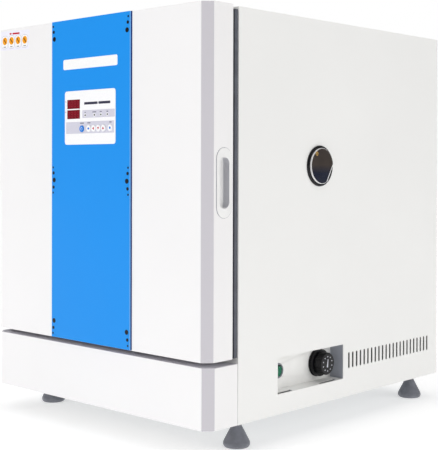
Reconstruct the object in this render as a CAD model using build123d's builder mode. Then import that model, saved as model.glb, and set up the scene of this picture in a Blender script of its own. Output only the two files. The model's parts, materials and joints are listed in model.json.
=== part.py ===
from build123d import *
import os

# Benchtop hot-air sterilizer cabinet, in millimetres.
# +Z is up, the door faces -Y and +X is the side with the controls and the access port.
# The origin is on the standing surface, under the middle of the cabinet.

# ---- driving dimensions ----
width = 535
depth = 570
body_height = 640
foot_height = 45
sheet = 1.2
clearance = 0.05

# cabinet planes
side = width / 2
inside = side - sheet
front = -250
back = front + depth
rear_skin = back - sheet
bottom = foot_height
top = bottom + body_height
top_skin = top - sheet

# door and plinth have one chamfered outline, the plinth a little further back
gasket_gap = 12.7
door_rear = front - gasket_gap
door_face = door_rear - 55.9
edge_chamfer = 14
plinth_top = bottom + 94.3
door_bottom = plinth_top + 8.2
door_top = top + 2
plinth_face = door_face + 2.5
plinth_seam = 1.2
fascia_bottom = door_bottom + 1
fascia_half = 101.7
fascia_face = door_face - 3

# hinge line at the left edge of the door
pivot_x = -side + 13
pivot_y = front - 30
pin_radius = 4
bush_radius = 7
strap_half = 11.5
strap_thickness = 3
notch_floor = door_top - 6.2
notch_right = pivot_x + strap_half + 1
notch_front = pivot_y - 18.5

# chamber
chamber_half = 200
chamber_low = 210
chamber_high = 630
chamber_back = 182
liner_sheet = 1
flange_reach = 15
baffle_y = 149
shelf_levels = (350, 490)

# fan, centred on the rear wall
fan_z = 450
impeller_radius = 70
shaft_radius = 5
motor_plate_y = 231

# access port and swing cover on the right side
port_y = front + 201
port_z = bottom + 397
port_bore = 20
spigot_radius = 28
tube_radius = 30
bezel_radius = 34
bezel_face = side + 3
cover_radius = 29.75
cover_gap = 0.5
cover_thickness = 3
cover_chord = 24.3
notch_reach = 18
notch_radius = 8.5
pivot_dy = -15
pivot_dz = 20.3
chord_angle = -30.4

# control pocket low on the right side
pocket_front = front + 94.4
pocket_rear = front + 269.4
pocket_low = bottom + 32
pocket_high = bottom + 91
pocket_wall = side - 28
pocket_sheet = 1.5
control_z = bottom + 62
switch_y = front + 127.4
dial_y = front + 232

# side vents
vent_length = 27.6
vent_width = 4.8
vent_pitch = 11.37
vent_count = 23
vent_first = front + 286
vent_z = bottom + 61.6

# levelling feet
foot_x = 232
foot_rows = (front + 36, front + 531)
stud_radius = 4
pad_radius = 21.7
pad_neck = 8.2
pad_height = 38

# control panel in the fascia
overlay_x = 1.35
overlay_half = 64.55
overlay_low = bottom + 431.8
overlay_high = bottom + 521.5
overlay_face = fascia_face - 0.6
key_row_z = bottom + 457.9
key_columns = {
    "power": -18.2,
    "mode": -0.3,
    "left": 12.0,
    "down": 24.3,
    "up": 36.6,
    "set": 53.5,
}
key_radius = 5.5
key_hole = 5.7
key_face = overlay_face - 1.2
led_columns = (-9.8, 13.5, 29.8, 46.1)
led_z = bottom + 480.1
led_radius = 1.5
display_left = -57
display_right = -23.5
display_spans = ((bottom + 474.8, bottom + 489.8), (bottom + 491.6, bottom + 507.1))
board_face = door_face + 8.3

# recessed pull in the right edge of the door
pull_y = door_rear - 19.8
pull_z = bottom + 371
pull_width = 34
pull_length = 106
recess_width = 21
recess_length = 78
recess_depth = 11

# rear power inlet
inlet_x = -190
inlet_z = bottom + 42

corners = [(x, y) for x in (-foot_x, foot_x) for y in foot_rows]
directions = {"x": (1, 0, 0), "y": (0, 1, 0), "z": (0, 0, 1)}


def block(low, high, mode=Mode.ADD):
    """Add a box between two opposite corners to the part being built."""
    centre = [(a + b) / 2 for a, b in zip(low, high)]
    size = [abs(b - a) for a, b in zip(low, high)]
    with Locations(tuple(centre)):
        Box(*size, mode=mode)


def rod(axis, start, length, radius, mode=Mode.ADD):
    """Add a cylinder that runs from a start point along x, y or z."""
    with Locations(Plane(origin=start, z_dir=directions[axis])):
        Cylinder(radius, length, align=(Align.CENTER, Align.CENTER, Align.MIN), mode=mode)


def cut_block(low, high):
    """Remove a box between two opposite corners."""
    block(low, high, mode=Mode.SUBTRACT)


def cut_rod(axis, start, length, radius):
    """Remove a cylinder that runs from a start point."""
    rod(axis, start, length, radius, mode=Mode.SUBTRACT)


def cable(route, radius, bend):
    """Sweep a round cable along straight runs joined by tangent arcs."""
    with BuildLine() as line:
        FilletPolyline(*route, radius=bend)
    with BuildSketch(Plane(origin=line.line @ 0, z_dir=line.line % 0)) as section:
        Circle(radius)
    sweep(section.sketch, path=line.line)


def write(piece, label):
    """Name a finished piece and write it to its own file."""
    piece.part.label = label
    export_step(piece.part, f"parts/{label}.step")


def chamfered_outline(outer_face, inset):
    """Draw the plan outline of the door or the plinth, moved inwards by a wall."""
    edge = side - inset
    face = outer_face + inset
    bend = edge_chamfer - 0.41 * inset
    Polygon(
        (-edge, 0),
        (-edge, face + bend),
        (-edge + bend, face),
        (edge - bend, face),
        (edge, face + bend),
        (edge, 0),
        align=None,
    )


def upright(origin, facing):
    """A sketch plane whose first direction is up; it faces along x or y."""
    return Plane(origin=origin, x_dir=(0, 0, 1), z_dir=directions[facing])


def vent_slots(face_x):
    """Cut the row of upright vent slots through a side panel."""
    for index in range(vent_count):
        with BuildSketch(upright((face_x, vent_first + index * vent_pitch, vent_z), "x")) as slot:
            SlotOverall(vent_length, vent_width)
        extrude(slot.sketch, amount=2, both=True, mode=Mode.SUBTRACT)


os.makedirs("parts", exist_ok=True)

# ---- base, feet and outer panels ----
pan_wall = 1.5
with BuildPart() as base_pan:
    block((-inside, front + sheet, bottom), (inside, rear_skin, bottom + 20))
    cut_block(
        (-inside + pan_wall, front + sheet + pan_wall, bottom + pan_wall),
        (inside - pan_wall, rear_skin - pan_wall, bottom + 20),
    )
    with Locations(*[(x, y, bottom + 1) for x, y in corners]):
        Cylinder(stud_radius, 6, mode=Mode.SUBTRACT)
write(base_pan, "base_pan")

with BuildPart() as foot_studs:
    for x, y in corners:
        rod("z", (x, y, pad_height - 24), bottom + 12 - pad_height + 24, stud_radius)
    chamfer(foot_studs.edges().filter_by(GeomType.CIRCLE), 0.6)
write(foot_studs, "foot_studs")

nut_height = 6.5
with BuildPart() as foot_nuts:
    for level in (bottom - nut_height, bottom + pan_wall):
        with BuildSketch(*[Plane(origin=(x, y, level)) for x, y in corners]):
            RegularPolygon(6.5, 6, major_radius=False)
            Circle(stud_radius, mode=Mode.SUBTRACT)
        extrude(amount=nut_height)
write(foot_nuts, "foot_nuts")

foot_names = ("foot_pad_front_left", "foot_pad_rear_left", "foot_pad_front_right", "foot_pad_rear_right")
for name, (x, y) in zip(foot_names, corners):
    with BuildPart() as foot_pad:
        with BuildSketch(Plane.XZ):
            with BuildLine():
                Polyline(
                    (stud_radius + clearance, pad_height),
                    (pad_neck, pad_height),
                    (pad_neck, 33),
                    (pad_radius - 1.5, 10),
                    (pad_radius - 0.3, 7),
                    (pad_radius, 4.5),
                    (pad_radius - 0.7, 2),
                    (pad_radius - 2.5, 0),
                    (0, 0),
                    (0, 10),
                    (stud_radius + clearance, 10),
                    close=True,
                )
            make_face()
        revolve(axis=Axis.Z)
    foot_pad.part.locate(Location((x, y, 0)))
    write(foot_pad, name)

with BuildPart() as left_side_panel:
    block((-side, front, bottom), (-inside, back, top))
    vent_slots(-side)
write(left_side_panel, "left_side_panel")

with BuildPart() as right_side_panel:
    block((inside, front, bottom), (side, back, top))
    cut_rod("x", (inside - 1, port_y, port_z), 4, spigot_radius)
    cut_rod("x", (inside - 1, port_y + pivot_dy, port_z + pivot_dz), 4, 1.5)
    cut_block((inside - 1, pocket_front, pocket_low), (side + 1, pocket_rear, pocket_high))
    vent_slots(side)
write(right_side_panel, "right_side_panel")

with BuildPart() as top_panel:
    block((-inside, front, top_skin), (inside, rear_skin, top))
write(top_panel, "top_panel")

rear_screw_rows = [bottom + 25 + step * (body_height - 50) / 4 for step in range(5)]
rear_screws = [(x, z) for x in (-inside + 12, inside - 12) for z in rear_screw_rows]
with BuildPart() as rear_panel:
    block((-inside, rear_skin, bottom), (inside, back, top))
    cut_block((inlet_x - 14, rear_skin - 1, inlet_z - 10.5), (inlet_x + 14, back + 1, inlet_z + 10.5))
    for x, z in rear_screws:
        cut_rod("y", (x, rear_skin - 1, z), 4, 2)
    for column in range(11):
        with BuildSketch(upright((column * 14 - 70, back, fan_z), "y")):
            SlotOverall(70, 5)
        extrude(amount=2, both=True, mode=Mode.SUBTRACT)
write(rear_panel, "rear_panel")

mouth = chamber_half + liner_sheet
with BuildPart() as front_frame:
    block((-inside, front, bottom), (inside, front + sheet, top_skin))
    for x in (-inside, inside - sheet):
        block((x, front + sheet, bottom + 30), (x + sheet, front + 16, top_skin))
    block((-inside, front + sheet, top_skin - sheet), (inside, front + 16, top_skin))
    cut_block(
        (-mouth, front - 1, chamber_low - liner_sheet),
        (mouth, front + 20, chamber_high + liner_sheet),
    )
    cut_rod("y", (-226, front - 2, bottom + 40), 6, 6)
write(front_frame, "front_frame")

with BuildPart() as plinth_cover:
    with BuildSketch(Plane.XY.offset(bottom)):
        chamfered_outline(plinth_face, 0)
        split(bisect_by=Plane.XZ.offset(plinth_seam - front), keep=Keep.TOP)
    extrude(amount=plinth_top - bottom)
    with BuildSketch(Plane.XY.offset(bottom)):
        chamfered_outline(plinth_face, sheet)
    extrude(amount=plinth_top - bottom - sheet, mode=Mode.SUBTRACT)
    cut_rod("z", (pivot_x, pivot_y, plinth_top - 3), 6, 3)
write(plinth_cover, "plinth_cover")

# ---- heated chamber ----
probe_spot = (120, 600)
bulb_spot = (150, 240)
motor_legs = [(x, z) for x in (-48, 48) for z in (fan_z - 48, fan_z + 48)]
with BuildPart() as chamber_liner:
    block(
        (-mouth, front, chamber_low - liner_sheet),
        (mouth, chamber_back + liner_sheet, chamber_high + liner_sheet),
    )
    block(
        (-mouth - flange_reach, front - liner_sheet, chamber_low - liner_sheet - flange_reach),
        (mouth + flange_reach, front, chamber_high + liner_sheet + flange_reach),
    )
    cut_block((-chamber_half, front - 2, chamber_low), (chamber_half, chamber_back, chamber_high))
    cut_rod("x", (chamber_half - 1, port_y, port_z), 4, tube_radius)
    cut_rod("y", (0, chamber_back - 1, fan_z), 4, shaft_radius + 3)
    for x, z in (probe_spot, bulb_spot):
        cut_rod("y", (x, chamber_back - 1, z), 4, 3.2)
write(chamber_liner, "chamber_liner")

with BuildPart() as cabinet_insulation:
    block((-inside + 2.5, front + 3, bottom + 105), (inside - 2.5, motor_plate_y - 1, top_skin - 2))
    cut_block(
        (-mouth, front, chamber_low - liner_sheet),
        (mouth, chamber_back + liner_sheet, chamber_high + liner_sheet),
    )
    cut_rod("x", (chamber_half, port_y, port_z), 70, tube_radius)
    cut_rod("y", (0, chamber_back, fan_z), 70, shaft_radius + 3)
    for x, z in motor_legs:
        cut_rod("y", (x, chamber_back, z), 70, 4)
    for x, z in (probe_spot, bulb_spot):
        cut_rod("y", (x, chamber_back, z), 70, 3.2)
write(cabinet_insulation, "cabinet_insulation")

rail_top = 1.5
with BuildPart() as shelf_rails:
    for sign in (-1, 1):
        for level in shelf_levels:
            block((sign * 188, -235, level - rail_top), (sign * chamber_half, 140, level))
        for y in (-215, 110):
            inner = sign * (chamber_half - 3)
            block((inner, y, chamber_low), (sign * chamber_half, y + 18, chamber_high))
write(shelf_rails, "shelf_rails")

frame_wire = 3
cross_wire = 1.5
shelf_half = 192
shelf_front = -232
shelf_rear = 136
for name, level in zip(("shelf_lower", "shelf_upper"), shelf_levels):
    wire_z = level + frame_wire
    with BuildPart() as shelf:
        for x in (-shelf_half, shelf_half):
            rod("y", (x, shelf_front, wire_z), shelf_rear - shelf_front, frame_wire)
        for y in (shelf_front, (shelf_front + shelf_rear) / 2, shelf_rear):
            rod("x", (-shelf_half, y, wire_z), 2 * shelf_half, frame_wire)
        rows = (shelf_front, shelf_rear)
        with Locations(*[(x, y, wire_z) for x in (-shelf_half, shelf_half) for y in rows]):
            Sphere(frame_wire)
        for index in range(21):
            x = (index - 10) * 17.4
            rod("y", (x, shelf_front, wire_z + 1), shelf_rear - shelf_front, cross_wire)
    write(shelf, name)

baffle_posts = [(x, z) for x in (-180, 180) for z in (chamber_low + 20, chamber_high - 20)]
with BuildPart() as rear_baffle:
    baffle_half = chamber_half - 4
    block((-baffle_half, baffle_y, chamber_low + 1), (baffle_half, baffle_y + 1, chamber_high - 1))
    for x, z in baffle_posts:
        rod("y", (x, baffle_y + 1, z), chamber_back - baffle_y - 1, 5)
        cut_rod("y", (x, baffle_y - 1, z), 14, 1.5)
    for radius, count in ((0, 1), (14, 6), (28, 12), (42, 18)):
        with BuildSketch(Plane(origin=(0, baffle_y, fan_z), z_dir=(0, 1, 0))):
            with PolarLocations(radius, count):
                Circle(4)
        extrude(amount=3, both=True, mode=Mode.SUBTRACT)
    for x in (-150, -120, 120, 150):
        for row in range(5):
            with BuildSketch(upright((x, baffle_y, 310 + row * 60), "y")):
                SlotOverall(40, 6)
            extrude(amount=3, both=True, mode=Mode.SUBTRACT)
    for x, z in (probe_spot, bulb_spot):
        cut_rod("y", (x, baffle_y - 1, z), 4, 3.2)
write(rear_baffle, "rear_baffle")

with BuildPart() as panel_screws:
    for x, z in rear_screws:
        rod("y", (x, back - 8, z), 8, 2)
        rod("y", (x, back, z), 1.6, 3.6)
    for x, z in baffle_posts:
        rod("y", (x, baffle_y, z), 12, 1.5)
        rod("y", (x, baffle_y - 1.6, z), 1.6, 3)
write(panel_screws, "panel_screws")

# ---- fan, heater and sensors ----
motor_rear = motor_plate_y + 62
with BuildPart() as fan_motor:
    block((-58, motor_plate_y, fan_z - 58), (58, motor_plate_y + 3, fan_z + 58))
    rod("y", (0, motor_plate_y + 3, fan_z), motor_rear - motor_plate_y - 3, 42)
    for x, z in motor_legs:
        rod("y", (x, chamber_back + liner_sheet, z), motor_plate_y - chamber_back - liner_sheet, 4)
    block((20, motor_plate_y + 20, fan_z - 56), (50, motor_plate_y + 45, fan_z - 30))
    fillet(fan_motor.faces().sort_by(Axis.Y)[-1].edges(), 4)
    cut_rod("y", (0, motor_plate_y - 1, fan_z), motor_rear - motor_plate_y - 6, shaft_radius + clearance)
write(fan_motor, "fan_motor")

hub_front = baffle_y + 5
with BuildPart() as fan_shaft:
    rod("y", (0, hub_front, fan_z), motor_rear - 10 - hub_front, shaft_radius)
write(fan_shaft, "fan_shaft")

with BuildPart() as fan_impeller:
    rod("y", (0, hub_front, fan_z), 20, 12)
    rod("y", (0, hub_front + 18, fan_z), 2, impeller_radius)
    with Locations(Plane(origin=(0, hub_front + 9, fan_z), z_dir=(0, 1, 0))):
        with PolarLocations(impeller_radius - 19, 12):
            Box(34, 1.5, 18, rotation=(0, 0, 35))
    cut_rod("y", (0, hub_front - 1, fan_z), 30, shaft_radius)
write(fan_impeller, "fan_impeller")

heater_y = baffle_y + 19
with BuildPart() as heater_element:
    with Locations(Plane(origin=(0, heater_y, fan_z), z_dir=(0, 1, 0))):
        Torus(92, 4)
        Torus(106, 4)
    for x in (92, 106):
        rod("y", (x, heater_y, fan_z), chamber_back - heater_y, 4)
    for sign in (-1, 1):
        block((sign * 78, heater_y - 1.5, fan_z + 40), (sign * 92, heater_y + 1.5, fan_z + 66))
write(heater_element, "heater_element")

with BuildPart() as sensor_probe:
    rod("y", (probe_spot[0], 100, probe_spot[1]), motor_plate_y + 6 - 100, 2.5)
    rod("y", (probe_spot[0], motor_plate_y, probe_spot[1]), 12, 6)
write(sensor_probe, "sensor_probe")

limiter_back = pocket_wall - pocket_sheet - 30
with BuildPart() as limiter_capillary:
    rod("y", (bulb_spot[0], 90, bulb_spot[1]), 54, 3)
    cable(
        [
            (bulb_spot[0], 144, bulb_spot[1]),
            (bulb_spot[0], motor_plate_y + 20, bulb_spot[1]),
            (bulb_spot[0], motor_plate_y + 26, control_z + 8),
            (limiter_back - 14, 150, control_z),
            (limiter_back - 14, dial_y, control_z),
            (limiter_back, dial_y, control_z),
        ],
        1.2,
        6,
    )
write(limiter_capillary, "limiter_capillary")

# ---- access port ----
pivot_port = (port_y + pivot_dy, port_z + pivot_dz)
with BuildPart() as port_tube:
    rod("x", (chamber_half, port_y, port_z), inside - chamber_half, tube_radius)
    cut_rod("x", (chamber_half - 1, port_y, port_z), 80, spigot_radius)
write(port_tube, "port_tube")

with BuildPart() as port_bezel:
    rod("x", (side, port_y, port_z), bezel_face - side, bezel_radius)
    chamfer(port_bezel.faces().sort_by(Axis.X)[-1].edges(), 1.2)
    rod("x", (side - 14, port_y, port_z), 14, spigot_radius)
    cut_rod("x", (side - 20, port_y, port_z), 30, port_bore)
    with BuildSketch(Plane(origin=(side - 20, port_y, port_z), x_dir=(0, 1, 0), z_dir=(1, 0, 0))):
        with PolarLocations(notch_reach, 1, start_angle=chord_angle):
            Circle(notch_radius)
    extrude(amount=30, mode=Mode.SUBTRACT)
    cut_rod("x", (side - 20, *pivot_port), 30, 1.5)
write(port_bezel, "port_bezel")

cover_low = bezel_face + cover_gap
cover_face = cover_low + cover_thickness
with BuildPart() as port_cover:
    rod("x", (cover_low, port_y, port_z), cover_thickness, cover_radius)
    with BuildSketch(Plane(origin=(cover_low - 1, port_y, port_z), x_dir=(0, 1, 0), z_dir=(1, 0, 0))):
        with PolarLocations(cover_chord + 20, 1, start_angle=chord_angle):
            Rectangle(40, 80)
    extrude(amount=cover_thickness + 2, mode=Mode.SUBTRACT)
    chamfer(port_cover.faces().sort_by(Axis.X)[-1].edges(), 0.8)
    cut_rod("x", (cover_low - 1, *pivot_port), 10, 1.5 + clearance)
    cut_rod("x", (cover_face - 1.5, *pivot_port), 5, 3.7)
write(port_cover, "port_cover")

with BuildPart() as port_pivot_screw:
    rod("x", (side - 14, *pivot_port), cover_face - 1.2 - side + 14, 1.5)
    rod("x", (cover_face - 1.2, *pivot_port), 1.5, 3.4)
    slot_half = 0.4
    cut_block(
        (cover_face - 0.3, pivot_port[0] - slot_half, pivot_port[1] - 4),
        (cover_face + 1, pivot_port[0] + slot_half, pivot_port[1] + 4),
    )
write(port_pivot_screw, "port_pivot_screw")

# ---- control pocket, power switch and temperature limiter ----
switch_radius = 11
switch_bore = 10
with BuildPart() as control_pocket:
    block(
        (pocket_wall - pocket_sheet, pocket_front - pocket_sheet, pocket_low - pocket_sheet),
        (inside, pocket_rear + pocket_sheet, pocket_high + pocket_sheet),
    )
    block(
        (inside - 1, pocket_front - 8, pocket_low - 8),
        (inside, pocket_rear + 8, pocket_high + 8),
    )
    cut_block((pocket_wall, pocket_front, pocket_low), (side, pocket_rear, pocket_high))
    cut_rod("x", (pocket_wall - 3, switch_y, control_z), 6, switch_radius)
    cut_rod("x", (pocket_wall - 3, dial_y, control_z), 6, 6)
    for start, end in ((pocket_front + 1.6, -114), (-41.5, 4)):
        cut_block((side - 11, start, pocket_low - 4), (side - 3.5, end, pocket_low + 1))
write(control_pocket, "control_pocket")

with BuildPart() as power_switch_body:
    rod("x", (pocket_wall - 24, switch_y, control_z), 24, switch_radius)
    rod("x", (pocket_wall, switch_y, control_z), 2.5, 12.5)
    chamfer(power_switch_body.faces().sort_by(Axis.X)[-1].edges(), 0.8)
    cut_rod("x", (pocket_wall - 8, switch_y, control_z), 20, switch_bore)
    for z in (control_z - 4, control_z + 4):
        block((pocket_wall - 34, switch_y - 3, z - 0.4), (pocket_wall - 24, switch_y + 3, z + 0.4))
write(power_switch_body, "power_switch_body")

rocker_x = pocket_wall - 3.5
rocker_radius = 8.6
rocker_tilt = 10
with BuildPart() as power_rocker:
    rod("x", (-2, 0, 0), 8.5, rocker_radius)
    with BuildSketch(Plane.XZ):
        tip = rocker_radius + 1
        Polygon((5, 0), (6.5, tip), (9, tip), (9, -tip), (6.5, -tip), align=None)
    extrude(amount=12, both=True, mode=Mode.SUBTRACT)
power_rocker.part.locate(Location((rocker_x, switch_y, control_z), (0, rocker_tilt, 0)))
write(power_rocker, "power_rocker")

with BuildPart() as limiter_body:
    block(
        (limiter_back, dial_y - 20, control_z - 20),
        (pocket_wall - pocket_sheet, dial_y + 20, control_z + 20),
    )
    rod("x", (pocket_wall - pocket_sheet, dial_y, control_z), pocket_sheet, 6)
    cut_rod("x", (limiter_back + 10, dial_y, control_z), 40, 3 + clearance)
write(limiter_body, "limiter_body")

with BuildPart() as limiter_bezel:
    rod("x", (pocket_wall, dial_y, control_z), 2.2, 23.8)
    rod("x", (pocket_wall, dial_y, control_z), 4, 22)
    chamfer(limiter_bezel.edges().filter_by(GeomType.CIRCLE).sort_by(Axis.X)[1:], 0.5)
    cut_rod("x", (pocket_wall - 1, dial_y, control_z), 6, 8)
write(limiter_bezel, "limiter_bezel")

knob_radius = 18.7
skirt_radius = 22.8
knob_low = pocket_wall + 4.5
knob_face = side - 5
with BuildPart() as limiter_knob:
    rod("x", (knob_low, dial_y, control_z), knob_face - knob_low, knob_radius)
    chamfer(limiter_knob.faces().sort_by(Axis.X)[-1].edges(), 1)
    rod("x", (knob_low, dial_y, control_z), 4, skirt_radius)
    with BuildSketch(Plane(origin=(knob_low + 5, dial_y, control_z), z_dir=(1, 0, 0))):
        with PolarLocations(knob_radius + 0.6, 24):
            Circle(1.3)
    extrude(amount=20, mode=Mode.SUBTRACT)
    rod("x", (limiter_back + 14, dial_y, control_z), knob_low - limiter_back - 14, 3)
write(limiter_knob, "limiter_knob")

# ---- electrics in the base ----
with BuildPart() as power_inlet:
    block((inlet_x - 24, back, inlet_z - 14), (inlet_x + 24, back + 2.5, inlet_z + 14))
    fillet(power_inlet.edges().filter_by(Axis.Y), 4)
    block((inlet_x - 14, back - 26, inlet_z - 10.5), (inlet_x + 14, back, inlet_z + 10.5))
    cut_block((inlet_x - 12, back - 18, inlet_z - 8), (inlet_x + 12, back + 4, inlet_z + 8))
    for offset_x, offset_z in ((-7, -2), (0, 2), (7, -2)):
        x = inlet_x + offset_x
        z = inlet_z + offset_z
        block((x - 1, back - 20, z - 2.5), (x + 1, back - 3, z + 2.5))
write(power_inlet, "power_inlet")

with BuildPart() as power_board:
    block((-180, 170, bottom + 12), (-60, 280, bottom + 13.6))
    for x in (-174, -66):
        for y in (176, 274):
            rod("z", (x, y, bottom + pan_wall), 10.5, 3)
    block((-170, 185, bottom + 13.6), (-125, 225, bottom + 45))
    block((-110, 185, bottom + 13.6), (-94, 205, bottom + 34))
    block((-110, 215, bottom + 13.6), (-94, 235, bottom + 34))
    block((-170, 255, bottom + 13.6), (-80, 267, bottom + 26))
    for x in (-82, -72):
        rod("z", (x, 190, bottom + 13.6), 22, 4.5)
write(power_board, "power_board")

with BuildPart() as solid_state_relay:
    block((20, 215, bottom + pan_wall), (80, 285, bottom + 6))
    for index in range(7):
        x = 20 + index * 9.6
        block((x, 215, bottom + 6), (x + 2, 285, bottom + 24))
    block((20, 215, bottom + 22), (79.6, 285, bottom + 25))
    block((27, 222, bottom + 25), (72, 280, bottom + 48))
write(solid_state_relay, "solid_state_relay")

with BuildPart() as base_harness:
    cable(
        [
            (pivot_x, pivot_y, plinth_top),
            (pivot_x, pivot_y, bottom + 58),
            (pivot_x + 10, pivot_y, bottom + 42),
            (-226, pivot_y + 8, bottom + 40),
            (-226, front + 40, bottom + 40),
            (-205, 120, bottom + 34),
            (-190, 261, bottom + 34),
            (-190, 261, bottom + 19.8),
            (-170, 261, bottom + 19.8),
        ],
        1.8,
        3.6,
    )
write(base_harness, "base_harness")

# ---- hinge ----
strap_low = plinth_top + 0.7
strap_high = top - 0.5 - strap_thickness
with BuildPart() as hinge_brackets:
    for level, leg_low, pin_low in (
        (strap_low, strap_low, strap_low + strap_thickness),
        (strap_high, strap_high - 37, strap_high - 16),
    ):
        with BuildSketch(Plane.XY.offset(level)):
            Polygon(
                (pivot_x - strap_half, pivot_y),
                (pivot_x + strap_half, pivot_y),
                (pivot_x + strap_half, front),
                (pivot_x - strap_half, front),
                align=None,
            )
            with Locations((pivot_x, pivot_y)):
                Circle(strap_half)
        extrude(amount=strap_thickness)
        block(
            (pivot_x - strap_half, front - strap_thickness, leg_low),
            (pivot_x - 1, front, leg_low + 40),
        )
        rod("z", (pivot_x, pivot_y, pin_low), 16, pin_radius)
    cut_rod("z", (pivot_x, pivot_y, bottom), body_height + 5, 2.2)
write(hinge_brackets, "hinge_brackets")

with BuildPart() as hinge_bushes:
    rod("z", (pivot_x, pivot_y, notch_floor - 18), 18, bush_radius)
    block(
        (pivot_x - 11, pivot_y - 17, notch_floor - sheet - 4),
        (pivot_x + 11, pivot_y + 15, notch_floor - sheet),
    )
    rod("z", (pivot_x, pivot_y, strap_low + strap_thickness + 0.2), 20, bush_radius)
    rod("z", (pivot_x, pivot_y, strap_low + strap_thickness + 0.2), 4, 10)
    block(
        (pivot_x - 11, pivot_y - 17, door_bottom + sheet),
        (pivot_x + 11, pivot_y + 15, door_bottom + sheet + 4),
    )
    cut_rod("z", (pivot_x, pivot_y, bottom), body_height + 5, pin_radius + clearance)
write(hinge_bushes, "hinge_bushes")

# ---- door ----
with BuildPart() as door_shell:
    with BuildSketch(Plane.XY.offset(door_bottom)):
        chamfered_outline(door_face, 0)
        split(bisect_by=Plane.XZ.offset(-door_rear), keep=Keep.TOP)
    extrude(amount=door_top - door_bottom)
    with BuildSketch(Plane.XY.offset(door_bottom + sheet)):
        chamfered_outline(door_face, sheet)
    extrude(amount=door_top - door_bottom - 2 * sheet, mode=Mode.SUBTRACT)
    block((-side, notch_front - sheet, notch_floor - sheet), (notch_right + sheet, door_rear, door_top))
    cut_block((-side - 1, notch_front, notch_floor), (notch_right, door_rear + 1, door_top + 1))
    cut_rod("z", (pivot_x, pivot_y, bottom), body_height + 5, bush_radius)
    cut_block(
        (display_left, door_face - 1, display_spans[0][0]),
        (display_right, door_face + 3, display_spans[1][1]),
    )
    cut_block((-28, door_face - 1, key_row_z - 8), (60, door_face + 3, led_z + 4))
    with BuildSketch(upright((inside - 1, pull_y, pull_z), "x")):
        SlotOverall(pull_length - 8, pull_width - 8)
    extrude(amount=4, mode=Mode.SUBTRACT)
write(door_shell, "door_shell")

# rows of round studs: inset from the fascia's side, distance from the large stud, radius
stud_rows = ((8.9, 0, 4), (7.2, 12.2, 2.75), (6.1, 21.5, 1.75))
stud_middle = bottom + 371.9
stud_reach = 240.5
stud_places = set()
for inset, offset, radius in stud_rows:
    for z in (
        stud_middle - stud_reach - offset,
        stud_middle - offset,
        stud_middle + offset,
        stud_middle + stud_reach + offset,
    ):
        for x in (inset - fascia_half, fascia_half - inset):
            stud_places.add((x, z, radius))
stud_places = sorted(stud_places)
with BuildPart() as blue_fascia:
    block((-fascia_half, fascia_face, fascia_bottom), (fascia_half, door_face, door_top))
    face_edges = blue_fascia.faces().sort_by(Axis.Y)[0].edges().filter_by(Axis.Z)
    chamfer(face_edges, 2.5)
    for x, z, radius in stud_places:
        cut_rod("y", (x, fascia_face - 1, z), 3, radius)
    for low, high in display_spans:
        cut_block((display_left, fascia_face - 1, low), (display_right, door_face + 1, high))
    for x in key_columns.values():
        cut_rod("y", (x, fascia_face - 1, key_row_z), 6, key_hole)
    for x in led_columns:
        cut_rod("y", (x, fascia_face - 1, led_z), 6, led_radius)
write(blue_fascia, "blue_fascia")

with BuildPart() as fascia_studs:
    for x, z, radius in stud_places:
        rod("y", (x, fascia_face - 0.3, z), 2.3, radius)
write(fascia_studs, "fascia_studs")

overlay_middle = (overlay_low + overlay_high) / 2
with BuildPart() as control_overlay:
    film_plane = Plane(origin=(overlay_x, fascia_face, overlay_middle), x_dir=(1, 0, 0), z_dir=(0, -1, 0))
    with BuildSketch(film_plane):
        RectangleRounded(2 * overlay_half, overlay_high - overlay_low, 5)
    extrude(amount=fascia_face - overlay_face)
    for low, high in display_spans:
        cut_block((display_left, overlay_face - 1, low), (display_right, fascia_face + 1, high))
    for x in key_columns.values():
        cut_rod("y", (x, overlay_face - 1, key_row_z), 3, key_hole)
    for x in led_columns:
        cut_rod("y", (x, overlay_face - 1, led_z), 3, led_radius)
write(control_overlay, "control_overlay")

with BuildPart() as display_modules:
    for low, high in display_spans:
        block((display_left, overlay_face + 0.2, low), (display_right, board_face, high))
write(display_modules, "display_modules")

with BuildPart() as led_indicators:
    for x in led_columns:
        rod("y", (x, overlay_face - 0.2, led_z), board_face - overlay_face + 0.2, led_radius)
write(led_indicators, "led_indicators")

key_travel = 0.7
for name, x in key_columns.items():
    with BuildPart() as key:
        rod("y", (x, key_face, key_row_z), 4, key_radius)
        fillet(key.faces().sort_by(Axis.Y)[0].edges(), 0.5)
        rod("y", (x, key_face + 4, key_row_z), board_face - 4 - key_travel - 0.3 - key_face - 4, 1.75)
    write(key, f"{name}_key")

with BuildPart() as controller_board:
    block((-64, board_face, overlay_low + 6), (64, board_face + 1.6, overlay_high - 4))
    for x in key_columns.values():
        block((x - 3, board_face - 4, key_row_z - 3), (x + 3, board_face, key_row_z + 3))
    block((-60, board_face + 1.6, overlay_low + 12), (-36, board_face + 7, overlay_low + 34))
    block((-20, board_face + 1.6, overlay_low + 40), (4, board_face + 5, overlay_low + 64))
    block((30, board_face + 1.6, overlay_low + 14), (56, board_face + 7, overlay_low + 26))
write(controller_board, "controller_board")

plug_half = 188
with BuildPart() as door_liner:
    block((-inside, door_rear - sheet, door_bottom + sheet), (inside, door_rear, door_top - sheet))
    block((-plug_half, door_rear, chamber_low + 12), (plug_half, door_rear + 9, chamber_high - 12))
    fillet(door_liner.faces().sort_by(Axis.Y)[-1].edges(), 3)
    cut_block(
        (-plug_half + 2, door_rear - 2, chamber_low + 14),
        (plug_half - 2, door_rear + 7.5, chamber_high - 14),
    )
    cut_block(
        (-side, notch_front - sheet, notch_floor - sheet),
        (notch_right + sheet, door_rear + 1, door_top),
    )
write(door_liner, "door_liner")

with BuildPart() as door_insulation:
    block((-238, board_face + 8, door_bottom + 12), (242, door_rear - sheet, notch_floor - 8))
write(door_insulation, "door_insulation")

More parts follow.
